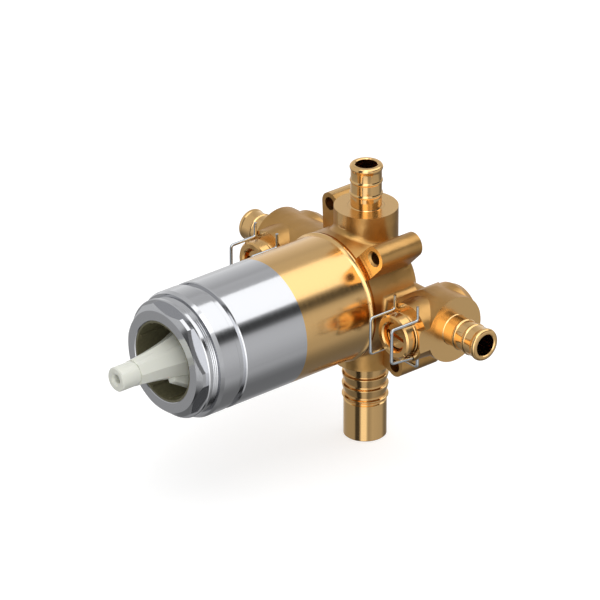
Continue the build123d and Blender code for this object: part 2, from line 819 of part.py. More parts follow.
with BuildPart() as spool_plug:
    turned([
        (0, spool_end),
        (spool_r, spool_end),
        (spool_r, spool_end + plug_length),
        (0, spool_end + plug_length),
    ], spool_plane)
finish(spool_plug.part, "spool_plug")


# Service stops: bonnet, gland, slotted screw, plunger, seat washer, O-ring and wire clip
for name, side in SIDES.items():
    axis_plane = stop_plane(side)
    bonnet_r = stop_bore_r - slip
    bonnet_groove_r = bonnet_r - 2 * small_ring_section_r + ring_slip
    bonnet_flange_y = clip_y + wire_slot
    with BuildPart() as stop_bonnet:
        turned([
            (screw_r + slip, seat_bore_front_y),
            (bonnet_r, seat_bore_front_y),
            (bonnet_r, bonnet_ring_y + small_ring_groove_half),
            (bonnet_groove_r, bonnet_ring_y + small_ring_groove_half),
            (bonnet_groove_r, bonnet_ring_y - small_ring_groove_half),
            (bonnet_r, bonnet_ring_y - small_ring_groove_half),
            (bonnet_r, bonnet_flange_y),
            (bonnet_front_r, bonnet_flange_y),
            (bonnet_front_r, bonnet_front_y + seam_chamfer),
            (bonnet_front_r - seam_chamfer, bonnet_front_y),
            (screw_r + slip, bonnet_front_y),
        ], axis_plane)
    finish(stop_bonnet.part, name + "_stop_bonnet")

    with BuildPart() as stop_gland:
        turned([
            (gland_bore_r, bonnet_front_y),
            (bonnet_front_r - seam_chamfer, bonnet_front_y),
            (bonnet_front_r, bonnet_front_y - seam_chamfer),
            (bonnet_front_r, bonnet_front_y - gland_length + 0.6),
            (bonnet_front_r - 0.6, bonnet_front_y - gland_length),
            (gland_bore_r + 0.5, bonnet_front_y - gland_length),
            (gland_bore_r, bonnet_front_y - gland_length + 0.5),
        ], axis_plane)
    finish(stop_gland.part, name + "_stop_gland")

    with BuildPart() as stop_screw:
        turned([
            (plunger_pin_r + slip, screw_rear_y),
            (screw_r, screw_rear_y),
            (screw_r, screw_front_y + 0.5),
            (screw_r - 0.5, screw_front_y),
            (0, screw_front_y),
            (0, screw_rear_y - plunger_pin_length - free),
            (plunger_pin_r + slip, screw_rear_y - plunger_pin_length - free),
        ], axis_plane)
        with Locations((side * stop_x, screw_front_y, 0)):
            Box(
                2 * screw_r + 2, 2 * screw_slot_depth, screw_slot_width,
                rotation=(0, screw_slot_angle, 0), mode=Mode.SUBTRACT,
            )
    finish(stop_screw.part, name + "_stop_screw")

    with BuildPart() as stop_plunger:
        turned([
            (0, screw_rear_y + plunger_thickness),
            (plunger_r, screw_rear_y + plunger_thickness),
            (plunger_r, screw_rear_y),
            (plunger_pin_r, screw_rear_y),
            (plunger_pin_r, screw_rear_y - plunger_pin_length),
            (0, screw_rear_y - plunger_pin_length),
        ], axis_plane)
    finish(stop_plunger.part, name + "_stop_plunger")

    with BuildPart() as seat_washer:
        turned([
            (0, screw_rear_y + plunger_thickness),
            (washer_r, screw_rear_y + plunger_thickness),
            (washer_r, screw_rear_y + plunger_thickness + washer_thickness - 0.4),
            (washer_r - 0.4, screw_rear_y + plunger_thickness + washer_thickness),
            (0, screw_rear_y + plunger_thickness + washer_thickness),
        ], axis_plane)
    finish(seat_washer.part, name + "_seat_washer")

    with BuildPart() as stop_o_ring:
        ring(small_ring_section_r, bonnet_r - small_ring_section_r + ring_slip, bonnet_ring_y, axis_plane)
    finish(stop_o_ring.part, name + "_stop_o_ring")

    # One wire: free end, finger loop forward, cross bar under the collar, and the same again
    left_x = side * stop_x - clip_leg_x
    right_x = side * stop_x + clip_leg_x
    with BuildPart() as retaining_clip:
        with BuildLine() as wire_path:
            FilletPolyline(
                (left_x, clip_y, clip_top_z),
                (left_x, clip_y, clip_bar_top_z),
                (left_x, clip_front_y, clip_bar_top_z),
                (left_x, clip_front_y, clip_bar_bottom_z),
                (left_x, clip_y, clip_bar_bottom_z),
                (left_x, clip_y, clip_cross_z),
                (right_x, clip_y, clip_cross_z),
                (right_x, clip_y, clip_bar_bottom_z),
                (right_x - clip_bend_in, clip_front_y, clip_bar_bottom_z + clip_bend_down),
                (right_x - clip_bend_in, clip_front_y, clip_bar_top_z - clip_bend_down),
                (right_x, clip_y, clip_bar_top_z),
                (right_x, clip_y, clip_top_z),
                radius=clip_bend_r,
            )
        with BuildSketch(Plane(origin=wire_path.line @ 0, z_dir=wire_path.line % 0)):
            Circle(wire_r)
        sweep(path=wire_path.line)
    finish(retaining_clip.part, name + "_retaining_clip")
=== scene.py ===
# %% [markdown]
# # A brass shower valve, dressed for its portrait
# This lesson takes the finished solids of a pressure balancing shower valve and gives
# them the looks of the real metal, plastic and rubber. The solids come from the packed
# model and are never moved, so everything here is either a material, a piece that is
# drawn again in the place of a solid, a light or the camera.

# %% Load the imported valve
from math import asin, atan2, cos, pi, radians, sin

import bpy
from mathutils import Matrix, Vector


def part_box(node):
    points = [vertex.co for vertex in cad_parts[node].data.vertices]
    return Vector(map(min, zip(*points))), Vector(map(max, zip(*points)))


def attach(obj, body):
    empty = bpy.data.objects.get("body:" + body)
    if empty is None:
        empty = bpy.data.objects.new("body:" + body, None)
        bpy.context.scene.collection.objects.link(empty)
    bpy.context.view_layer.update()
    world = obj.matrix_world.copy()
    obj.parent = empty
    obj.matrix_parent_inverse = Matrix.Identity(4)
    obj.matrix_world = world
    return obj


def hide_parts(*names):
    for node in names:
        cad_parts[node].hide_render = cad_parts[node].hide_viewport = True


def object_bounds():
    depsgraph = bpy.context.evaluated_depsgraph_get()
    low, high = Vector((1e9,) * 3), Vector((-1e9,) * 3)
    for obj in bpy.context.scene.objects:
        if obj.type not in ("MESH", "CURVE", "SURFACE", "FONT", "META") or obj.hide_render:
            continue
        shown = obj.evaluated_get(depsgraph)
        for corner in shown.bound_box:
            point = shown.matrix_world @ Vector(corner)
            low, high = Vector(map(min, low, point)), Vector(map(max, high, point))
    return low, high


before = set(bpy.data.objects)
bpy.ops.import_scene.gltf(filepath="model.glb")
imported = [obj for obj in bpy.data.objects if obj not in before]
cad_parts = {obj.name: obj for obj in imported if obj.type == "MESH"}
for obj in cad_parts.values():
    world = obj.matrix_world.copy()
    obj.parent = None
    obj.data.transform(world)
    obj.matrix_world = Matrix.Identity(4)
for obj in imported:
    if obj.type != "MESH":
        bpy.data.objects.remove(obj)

cad_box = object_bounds()
print("valve box, metres:", [[round(v, 4) for v in corner] for corner in cad_box])

# %% [markdown]
# Lengths in this file are written in millimetres, as on a drawing, and turned into
# Blender's metres by one value. Colours are written as sRGB hex values, as a colour
# picker shows them. A shader wants linear light, so one function turns them.

# %% Units and colours
MM = 0.001


def linear(hex_colour):
    """An sRGB hex colour as the linear red, green, blue and alpha that a shader reads."""
    channels = [int(hex_colour[i:i + 2], 16) / 255 for i in (1, 3, 5)]
    return [c / 12.92 if c <= 0.04045 else ((c + 0.055) / 1.055) ** 2.4 for c in channels] + [1.0]


print("the middle of the sRGB scale, linear:", [round(c, 3) for c in linear("#808080")])

# %% [markdown]
# Every material below is a small graph of nodes. One function adds a node, sets its
# options and fills its sockets, either with a value or with a link from another node.

# %% A function for adding nodes


def add(tree, kind, sockets=None, **options):
    """Add a node to a tree, set its options, and fill its sockets with values or links."""
    made = tree.nodes.new(kind)
    for name, value in options.items():
        setattr(made, name, value)
    for name, value in (sockets or {}).items():
        if isinstance(value, bpy.types.NodeSocket):
            tree.links.new(value, made.inputs[name])
        else:
            made.inputs[name].default_value = value
    return made


print("function made: add")

# %% [markdown]
# A material starts as a Principled shader that is linked to the output. The solids came
# from the pack with a plain material each, so a second function takes that one off and
# puts the new one on.

# %% Functions for materials


def new_material(name, **sockets):
    """A material with a Principled shader, its tree and the shader, with constant values set."""
    made = bpy.data.materials.new(name)
    made.use_nodes = True
    tree = made.node_tree
    tree.nodes.clear()
    shader = add(tree, "ShaderNodeBsdfPrincipled")
    add(tree, "ShaderNodeOutputMaterial", {"Surface": shader.outputs["BSDF"]})
    for name, value in sockets.items():
        shader.inputs[name.replace("_", " ")].default_value = value
    return made, tree, shader


def wear(made, *nodes):
    """Give CAD nodes a material, in place of the plain one that they were packed with."""
    for name in nodes:
        mesh = bpy.data.objects[name].data
        mesh.materials.clear()
        mesh.materials.append(made)


print("functions made: new_material and wear")

# %% [markdown]
# The casting is yellow brass, poured into a sand mould and then blasted clean. That
# leaves a satin skin with a grain of well under a millimetre, a little uneven in
# colour where the brass has warmed and tarnished. The barrel, the faces of the bosses
# and the ears were then cut on a lathe or a mill, so they are smoother and brighter.
# Both finishes are on one casting, so one material holds both, and a mask made from the
# place on the casting says which one shows. Its limits keep it to the surfaces that were
# cut, and a flat face has to look squarely along its axis as well.

# %% Where the casting was machined
cast_brass, tree, shader = new_material("sand_cast_yellow_brass", Metallic=1.0)
place = add(tree, "ShaderNodeTexCoord")
x, y, z = add(tree, "ShaderNodeSeparateXYZ", {0: place.outputs["Object"]}).outputs
facing_x, facing_y, facing_z = add(tree, "ShaderNodeSeparateXYZ", {0: place.outputs["Normal"]}).outputs


def sum_of(operation, *values, clamp=False):
    """The result of one sum on sockets or numbers, in the tree at hand."""
    sums = add(tree, "ShaderNodeMath", dict(enumerate(values)), operation=operation, use_clamp=clamp)
    return sums.outputs[0]


def beyond(value, limit, soft):
    """0 below a limit and 1 above it, with a soft edge of the width given."""
    return sum_of("MULTIPLY", sum_of("SUBTRACT", value, limit), 1 / soft, clamp=True)


BARREL_FROM, EARS_FROM, INLETS_FROM, BOSSES_FROM = 16.8 * MM, 7 * MM, 48.0 * MM, 29.7 * MM
BARREL_WITHIN, EDGE = 24.5 * MM, 0.1 * MM
SQUARE, SQUARE_FRONT = (0.95, 0.03), (0.97, 0.02)
forward = sum_of("MULTIPLY", y, -1.0)
radius = sum_of("SQRT", sum_of("ADD", sum_of("MULTIPLY", x, x), sum_of("MULTIPLY", z, z)))
near_axis = beyond(sum_of("MULTIPLY", radius, -1.0), -BARREL_WITHIN, 2 * EDGE)
on_barrel = sum_of("MULTIPLY", beyond(forward, BARREL_FROM, EDGE), near_axis)
square_side = beyond(sum_of("ABSOLUTE", facing_x), *SQUARE)
flat_side = sum_of("MULTIPLY", beyond(sum_of("ABSOLUTE", x), INLETS_FROM, EDGE), square_side)
square_end = beyond(sum_of("ABSOLUTE", facing_z), *SQUARE)
flat_end = sum_of("MULTIPLY", beyond(sum_of("ABSOLUTE", z), BOSSES_FROM, 2 * EDGE), square_end)
square_front = beyond(sum_of("MULTIPLY", facing_y, -1.0), *SQUARE_FRONT)
flat_front = sum_of("MULTIPLY", square_front, beyond(forward, EARS_FROM, EDGE))
machined = sum_of("MAXIMUM", sum_of("MAXIMUM", on_barrel, flat_front), sum_of("MAXIMUM", flat_side, flat_end))
print("nodes for the mask:", len(tree.nodes))

# %% [markdown]
# Three noises make the cast skin: blotches of tarnish, the grain of the sand, and the
# slow waves of a surface that no tool has touched. The barrel has a fourth, stretched
# round the axis, for the marks of the lathe, drawn coarser than a real feed so that they
# show. Brass is a metal, so its colour is the colour of its reflections: darker where it
# was cast, paler where it was cut. A Mix node has sockets for every kind of value: 0 is
# the mask, 2 and 3 are the two numbers, and 6 and 7 are the two colours.

# %% Colour and roughness of the two finishes
TARNISH, SAND_GRAIN, SKIN_WAVE, LATHE_FEED = 14 * MM, 0.7 * MM, 5 * MM, 0.625 * MM
CAST_BRASS, TARNISH_ENDS, CUT_BRASS = ("#b48a50", "#c89c60"), (0.35, 0.68), "#e7bd80"
ROUND_THE_BARREL = 40
spot = place.outputs["Object"]
blotches = add(tree, "ShaderNodeTexNoise", {"Vector": spot, "Scale": 1 / TARNISH, "Detail": 3.0})
grain = add(tree, "ShaderNodeTexNoise", {"Vector": spot, "Scale": 1 / SAND_GRAIN, "Detail": 2.0})
waves = add(tree, "ShaderNodeTexNoise", {"Vector": spot, "Scale": 1 / SKIN_WAVE, "Detail": 1.0})
along_axis = (ROUND_THE_BARREL, 1 / LATHE_FEED, ROUND_THE_BARREL)
lathe = add(tree, "ShaderNodeMapping", {"Vector": spot, "Scale": along_axis})
turning = add(tree, "ShaderNodeTexNoise", {"Vector": lathe.outputs[0], "Scale": 1.0, "Detail": 2.0})
cast_ramp = add(tree, "ShaderNodeValToRGB", {0: blotches.outputs[0]})
for element, position, shade in zip(cast_ramp.color_ramp.elements, TARNISH_ENDS, CAST_BRASS):
    element.position, element.color = position, linear(shade)
colours = {0: machined, 6: cast_ramp.outputs[0], 7: linear(CUT_BRASS)}
colour = add(tree, "ShaderNodeMix", colours, data_type="RGBA")
tree.links.new(colour.outputs[2], shader.inputs["Base Color"])
cast_rough = add(tree, "ShaderNodeMapRange", {"Value": grain.outputs[0], "To Min": 0.30, "To Max": 0.44})
turned_rough = add(tree, "ShaderNodeMapRange", {"Value": turning.outputs[0], "To Min": 0.15, "To Max": 0.24})
milled_rough = add(tree, "ShaderNodeMapRange", {"Value": grain.outputs[0], "To Min": 0.20, "To Max": 0.28})
cut_rough = add(tree, "ShaderNodeMix", {0: on_barrel, 2: milled_rough.outputs[0], 3: turned_rough.outputs[0]})
rough = add(tree, "ShaderNodeMix", {0: machined, 2: cast_rough.outputs[0], 3: cut_rough.outputs[0]})
tree.links.new(rough.outputs[0], shader.inputs["Roughness"])
print("nodes for colour and roughness:", len(tree.nodes))

# %% [markdown]
# The relief is a height in metres, so that its depth is a real one: a quarter of a
# millimetre for the waves of the skin, and hundredths or less for the grain and for
# the marks of the lathe. A Bump node tilts the light on the surface by that height.

# %% Relief of the cast skin and of the lathe marks
WAVE_DEPTH, GRAIN_DEPTH, LATHE_DEPTH = 0.25 * MM, 0.035 * MM, 0.004 * MM
as_cast = sum_of("SUBTRACT", 1.0, machined)
wavy = sum_of("MULTIPLY", waves.outputs[0], WAVE_DEPTH)
skin = sum_of("ADD", wavy, sum_of("MULTIPLY", grain.outputs[0], GRAIN_DEPTH))
marks = sum_of("MULTIPLY", sum_of("MULTIPLY", turning.outputs[0], machined), LATHE_DEPTH)
height = sum_of("ADD", sum_of("MULTIPLY", skin, as_cast), marks)
bump = add(tree, "ShaderNodeBump", {"Strength": 1.0, "Distance": 1.0, "Height": height})
tree.links.new(bump.outputs[0], shader.inputs["Normal"])
wear(cast_brass, "valve_body")
print("nodes in the cast brass:", len(tree.nodes))

# %% [markdown]
# On the real casting the arm isn't a full round bar: between the core and the stop
# chamber the sand mould leaves a deep notch, and only a web joins the two. The notch is
# the space that two round forms leave between them, so its outline is three arcs: the
# core's, the chamber's, and a fillet that touches both. Two circles and a fillet give a
# triangle with known sides, so its corner follows from Pythagoras. The ear stands on
# the core at an angle, and the notch starts at its side. The core's radius is drawn a
# few hundredths of a millimetre large, so that its own skin stays whole.

# %% Outline of the notch, seen from the front
CORE_R, HUB_R, CHAMBER_R, CHAMBER_X, FILLET_R = 24.03, 14.0, 12.5, 38.5, 3.0
NOTCH_TOP_Z, NOTCH_REAR_Z = 19.7, -2.0
EAR_ANGLE, EAR_SIDE = radians(46), 4.8
HUB_FOOT = radians(40)


def arc(middle, radius, start, end, steps=16):
    """Points on an arc about a middle in X and Z, from one angle in radians to another."""
    angles = [start + (end - start) * step / steps for step in range(steps + 1)]
    return [(middle[0] + radius * cos(a), middle[1] + radius * sin(a)) for a in angles]


def beside_core():
    """The notch above the right arm, from the foot of the ear round the fillet to the chamber's top."""
    far, near = CORE_R + FILLET_R, CHAMBER_R + FILLET_R
    fillet_x = (far ** 2 - near ** 2 + CHAMBER_X ** 2) / (2 * CHAMBER_X)
    fillet_z = (far ** 2 - fillet_x ** 2) ** 0.5
    on_core = atan2(fillet_z, fillet_x)
    on_chamber = atan2(fillet_z, fillet_x - CHAMBER_X)
    ear_foot = EAR_ANGLE - asin(EAR_SIDE / CORE_R)
    ear_edge_x = (EAR_SIDE + NOTCH_TOP_Z * cos(EAR_ANGLE)) / sin(EAR_ANGLE)
    outline = arc((0, 0), CORE_R, ear_foot, on_core)
    outline += arc((fillet_x, fillet_z), FILLET_R, on_core + pi, on_chamber + pi)[1:]
    outline += arc((CHAMBER_X, 0), CHAMBER_R, on_chamber, pi / 2)[1:]
    return outline + [(CHAMBER_X, NOTCH_TOP_Z), (ear_edge_x, NOTCH_TOP_Z)]


def behind_core():
    """The deeper notch behind the core, which goes on from there to the hub."""
    outline = arc((0, 0), HUB_R, HUB_FOOT, asin(NOTCH_REAR_Z / HUB_R))
    outline += arc((CHAMBER_X, 0), CHAMBER_R, pi - asin(NOTCH_REAR_Z / CHAMBER_R), pi / 2)
    return outline + [(CHAMBER_X, NOTCH_TOP_Z), (HUB_R * cos(HUB_FOOT), NOTCH_TOP_Z)]


print("corners of the two outlines:", len(beside_core()), "and", len(behind_core()))

# %% [markdown]
# The outline becomes a solid in the way that it would be drawn by hand: a plane is merged
# to one vertex, the vertex is extruded from corner to corner, the ring is filled, and the
# face is extruded. A Boolean modifier then cuts the solid away. Its exact solver needs
# closed shapes with normals outward, so both are made sure of here.

# %% A drawn prism, and a cut


def drawn_prism(outline, front, rear):
    """A prism from front to rear along Y, with its outline drawn in X and Z vertex by vertex."""
    bpy.ops.object.select_all(action="DESELECT")
    bpy.ops.mesh.primitive_plane_add(size=MM, location=(0, 0, 0))
    prism = bpy.context.object
    bpy.ops.object.mode_set(mode="EDIT")
    bpy.ops.mesh.merge(type="CENTER")
    bpy.ops.transform.translate(value=(outline[0][0] * MM, front * MM, outline[0][1] * MM))
    for here, there in zip(outline, outline[1:]):
        step = ((there[0] - here[0]) * MM, 0, (there[1] - here[1]) * MM)
        bpy.ops.mesh.extrude_vertices_move(TRANSFORM_OT_translate={"value": step})
    bpy.ops.mesh.select_all(action="SELECT")
    bpy.ops.mesh.edge_face_add()
    bpy.ops.mesh.extrude_region_move(TRANSFORM_OT_translate={"value": (0, (rear - front) * MM, 0)})
    bpy.ops.mesh.select_all(action="SELECT")
    bpy.ops.mesh.normals_make_consistent(inside=False)
    bpy.ops.object.mode_set(mode="OBJECT")
    return prism


def cut_away(piece, tool):
    """Cut one solid from another with a Boolean modifier, and take the tool away."""
    cut = piece.modifiers.new("cut", "BOOLEAN")
    cut.operation, cut.solver, cut.object = "DIFFERENCE", "EXACT", tool
    with bpy.context.temp_override(object=piece, active_object=piece, selected_objects=[piece]):
        bpy.ops.object.modifier_apply(modifier=cut.name)
    bpy.data.objects.remove(tool)


print("functions made: drawn_prism and cut_away")

# %% [markdown]
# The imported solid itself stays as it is: the notches are cut from a copy of its mesh. A
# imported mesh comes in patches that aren't joined at their edges, so the copy is merged
# first, and the stored normals that belonged to the old corners are dropped.

# %% A copy of the casting, ready to cut
WELD = 0.002 * MM


def select_only(piece):
    """Make a piece the one that is selected and active, as operators need it."""
    bpy.ops.object.select_all(action="DESELECT")
    piece.select_set(True)
    bpy.context.view_layer.objects.active = piece


casting = bpy.data.objects.new("notched_casting", bpy.data.objects["valve_body"].data.copy())
bpy.context.collection.objects.link(casting)
select_only(casting)
bpy.ops.object.mode_set(mode="EDIT")
bpy.ops.mesh.select_all(action="SELECT")
bpy.ops.mesh.remove_doubles(threshold=WELD)
bpy.ops.object.mode_set(mode="OBJECT")
bpy.ops.mesh.customdata_custom_splitnormals_clear()
packed = bpy.data.objects["valve_body"].data
print("corners before and after the merge:", len(packed.vertices), len(casting.data.vertices))

# %% [markdown]
# The notch on the ear's side is above the right arm and, half a turn round, below the
# left one. Behind the core the water still has to pass from the arm to the hub, so a
# round tube is left there: it is cut from the tool before the tool cuts the casting.
# The two tools overlap by a tenth of a millimetre, or a thin fin would stay between
# them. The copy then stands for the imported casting.

# %% Cut the notches
NOTCH_FRONT_Y, CORE_REAR_Y, NOTCH_REAR_Y, OVERLAP = -13.6, 3.03, 13.6, 0.1
PASSAGE_Y, PASSAGE_TUBE_R, CAST_SMOOTH = 6.9, 4.4, radians(24)
for turn in (1, -1):
    outline = [(turn * along, turn * high) for along, high in beside_core()]
    cut_away(casting, drawn_prism(outline, NOTCH_FRONT_Y, CORE_REAR_Y + OVERLAP))
    outline = [(turn * along, turn * high) for along, high in behind_core()]
    notch = drawn_prism(outline, CORE_REAR_Y, NOTCH_REAR_Y)
    bpy.ops.mesh.primitive_cylinder_add(
        vertices=64, radius=PASSAGE_TUBE_R * MM, depth=2 * CHAMBER_X * MM,
        location=(turn * CHAMBER_X / 2 * MM, PASSAGE_Y * MM, 0), rotation=(0, pi / 2, 0),
    )
    cut_away(notch, bpy.context.object)
    cut_away(casting, notch)
select_only(casting)
bpy.ops.object.shade_smooth_by_angle(angle=CAST_SMOOTH)
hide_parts("valve_body")
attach(casting, "valve")
print("casting faces:", len(casting.data.polygons), "material:", casting.data.materials[0].name)

# %% [markdown]
# The barbs, the outlet tube and the parts of the service stops are turned from brass
# bar on a lathe. The tool leaves fine rings round the axis, so the gloss is stretched
# along each ring. The pattern is a noise that changes fast along the axis and hardly at
# all round it. A real feed of 0.15 mm a turn is too fine to show here, so the rings are
# drawn half a millimetre apart. One function makes the material for each of the three
# axes that the pieces lie on, from its smoothest and its roughest value.

# %% Turned brass
AXES = {"x": 0, "y": 1, "z": 2}
DRAWN_FEED, RING_DEPTH, ROUND_THE_AXIS = 0.5 * MM, 0.006 * MM, 30.0


def turned_metal(name, axis, shade, smooth, coarse, feed, depth):
    """A turned metal, with rings round an axis at the feed's spacing in metres."""
    made, tree, shader = new_material(name, Metallic=1.0, Base_Color=linear(shade))
    place = add(tree, "ShaderNodeTexCoord")
    scale = [ROUND_THE_AXIS] * 3
    scale[AXES[axis]] = 1 / feed
    along = add(tree, "ShaderNodeMapping", {"Vector": place.outputs["Object"], "Scale": scale})
    rings = add(tree, "ShaderNodeTexNoise", {"Vector": along.outputs[0], "Scale": 1.0, "Detail": 2.0})
    rough = add(tree, "ShaderNodeMapRange", {"Value": rings.outputs[0], "To Min": smooth, "To Max": coarse})
    tree.links.new(rough.outputs[0], shader.inputs["Roughness"])
    bump = add(tree, "ShaderNodeBump", {"Strength": 1.0, "Distance": depth, "Height": rings.outputs[0]})
    tree.links.new(bump.outputs[0], shader.inputs["Normal"])
    return made


brass_z = turned_metal("turned_brass_upright", "z", CUT_BRASS, 0.09, 0.17, DRAWN_FEED, RING_DEPTH)
brass_x = turned_metal("turned_brass_sideways", "x", CUT_BRASS, 0.09, 0.17, DRAWN_FEED, RING_DEPTH)
brass_y = turned_metal("turned_brass_lengthways", "y", "#e2b575", 0.16, 0.30, DRAWN_FEED, RING_DEPTH)
wear(brass_z, "shower_outlet_barb", "tub_outlet_nipple")
wear(brass_x, "left_inlet_barb", "right_inlet_barb")
for side in ("left", "right"):
    wear(brass_y, *[side + name for name in ("_stop_bonnet", "_stop_gland", "_stop_screw", "_stop_plunger")])
meshes = [o.data for o in bpy.data.objects if o.type == "MESH"]
print("turned brass on", sum(mesh.materials[0].name.startswith("turned") for mesh in meshes), "nodes")

# %% [markdown]
# The crimp barbs hold a plastic tube: two rounded rings bite into it and a rounded lip
# leads it on. The solids have them with long ramps, and the photograph shows narrow
# rings, so here each barb is made again. A circle is extruded along its axis and scaled
# ring by ring, which is how a turned piece is drawn by hand, and the last ring meets the
# first, so that the wall is closed. A second loop close to each ring keeps the straight
# stretches straight in the shading. The outline starts with the spigot that sits in the
# boss, whose radius and length are given.

# %% Outline of a crimp barb
BARB_LENGTH, BARB_FOOT, BARB_BORE, BARB_WAIST, BARB_LIP = 16.5, 5.9, 4.0, 5.68, 6.08
FOOT_LENGTH, MOUTH_CHAMFER, OUTLET_SPIGOT, INLET_SPIGOT = 0.3, 0.3, (6.6, 6.0), (5.0, 4.5)
RING_PLACES, RING_REACH, RING_HEIGHT = (5.2, 10.2), 0.7, 0.34
LIP_START, LIP_ROUND, HOLD, SHOULDER = 13.9, 1.2, 0.1, 0.05


def barb_outline(spigot_radius, spigot_length):
    """Distance along the barb from the boss face, and the radius there, in millimetres."""
    outline = [
        (-spigot_length, BARB_BORE), (-spigot_length, spigot_radius), (-SHOULDER, spigot_radius),
        (0.0, BARB_FOOT), (FOOT_LENGTH, BARB_WAIST), (FOOT_LENGTH + HOLD, BARB_WAIST),
    ]
    for place in RING_PLACES:
        outline.append((place - RING_REACH - HOLD, BARB_WAIST))
        for step in range(-4, 5):
            outline.append((place + RING_REACH * step / 4, BARB_WAIST + RING_HEIGHT * cos(pi * step / 8)))
        outline.append((place + RING_REACH + HOLD, BARB_WAIST))
    lip_end = BARB_LENGTH - LIP_ROUND
    for step in range(5):
        swell = (BARB_LIP - BARB_WAIST) * (1 - cos(pi * step / 4)) / 2
        outline.append((LIP_START + (lip_end - LIP_START) * step / 4, BARB_WAIST + swell))
    for angle in range(15, 91, 15):
        along, outward = LIP_ROUND * sin(radians(angle)), LIP_ROUND * cos(radians(angle))
        outline.append((lip_end + along, BARB_LIP - LIP_ROUND + outward))
    mouth = [(BARB_LENGTH, BARB_BORE + MOUTH_CHAMFER), (BARB_LENGTH - MOUTH_CHAMFER, BARB_BORE)]
    return outline + mouth + [(-spigot_length, BARB_BORE)]


print("loops in the outline of a barb:", len(barb_outline(*OUTLET_SPIGOT)))

# %% [markdown]
# A barb is made on the Z axis and then tilted to its port.

# %% Crimp barbs
SIDES, JOIN, TURNED_SMOOTH = 96, 0.001 * MM, radians(28)


def crimp_barb(node, tilt, spigot_radius, spigot_length, made):
    """A barb turned on Z, tilted about Y by an angle in degrees, with its foot on the boss face."""
    outline = barb_outline(spigot_radius, spigot_length)
    reach = max(abs(v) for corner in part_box(node) for v in corner) - BARB_LENGTH * MM
    bpy.ops.object.select_all(action="DESELECT")
    first_z, first_radius = outline[0][0] * MM, outline[0][1] * MM
    bpy.ops.mesh.primitive_circle_add(vertices=SIDES, radius=first_radius, location=(0, 0, first_z))
    barb = bpy.context.object
    barb.name = node + "_turned"
    bpy.ops.object.mode_set(mode="EDIT")
    for (start, narrow), (end, wide) in zip(outline, outline[1:]):
        bpy.ops.mesh.extrude_region_move(TRANSFORM_OT_translate={"value": (0, 0, (end - start) * MM)})
        bpy.ops.transform.resize(value=(wide / narrow, wide / narrow, 1))
    bpy.ops.mesh.select_all(action="SELECT")
    bpy.ops.mesh.remove_doubles(threshold=JOIN)
    bpy.ops.mesh.normals_make_consistent(inside=False)
    bpy.ops.object.mode_set(mode="OBJECT")
    bpy.ops.object.transform_apply(location=True, rotation=True, scale=True)
    barb.rotation_euler = (0, radians(tilt), 0)
    barb.location = Vector((sin(radians(tilt)), 0, cos(radians(tilt)))) * reach
    bpy.ops.object.transform_apply(location=True, rotation=True, scale=True)
    bpy.ops.object.shade_smooth_by_angle(angle=TURNED_SMOOTH)
    barb.data.materials.append(made)
    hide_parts(node)
    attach(barb, "valve")
    return barb


barbs = [
    crimp_barb("shower_outlet_barb", 0, *OUTLET_SPIGOT, brass_z),
    crimp_barb("right_inlet_barb", 90, *INLET_SPIGOT, brass_x),
    crimp_barb("left_inlet_barb", -90, *INLET_SPIGOT, brass_x),
]
print("barb faces:", [len(barb.data.polygons) for barb in barbs])

# %% [markdown]
# The bonnet sleeve and the retaining nut are brass with bright chrome plate. Chrome has
# almost no colour of its own, so it is drawn by what it mirrors: white soft boxes and
# the darker gaps between them. Under the plate the turned rings still show faintly.

# %% Chrome plate
chrome = turned_metal("bright_chrome_plate", "y", "#c9cacd", 0.10, 0.17, 0.8 * MM, 0.003 * MM)
wear(chrome, "bonnet_sleeve", "retaining_nut")
print("chrome on", chrome.users, "nodes")

# %% [markdown]
# The stem is moulded in natural acetal, a milky plastic. Light goes a few millimetres
# into it, which softens its shadows, so the shader gets subsurface scattering. Long
# faint streaks in the gloss show how the plastic flowed along the mould.

# %% Milky acetal for the stem
DEEP_LIGHT, STREAKS = 2.5 * MM, (300, 40, 300)
acetal, tree, shader = new_material("natural_moulded_acetal", Base_Color=linear("#dfe0d6"), IOR=1.48)
shader.inputs["Subsurface Weight"].default_value = 0.35
shader.inputs["Subsurface Radius"].default_value = (1.0, 0.95, 0.8)
shader.inputs["Subsurface Scale"].default_value = DEEP_LIGHT
place = add(tree, "ShaderNodeTexCoord")
flow = add(tree, "ShaderNodeMapping", {"Vector": place.outputs["Object"], "Scale": STREAKS})
streaks = add(tree, "ShaderNodeTexNoise", {"Vector": flow.outputs[0], "Scale": 1.0, "Detail": 2.0})
rough = add(tree, "ShaderNodeMapRange", {"Value": streaks.outputs[0], "To Min": 0.22, "To Max": 0.36})
tree.links.new(rough.outputs[0], shader.inputs["Roughness"])
wear(acetal, "stem")
print("nodes in the acetal:", len(tree.nodes))

# %% [markdown]
# The housing and the limit ring are an olive, glass filled plastic: a dull skin with a
# slight mottle where the fibres come near the surface.

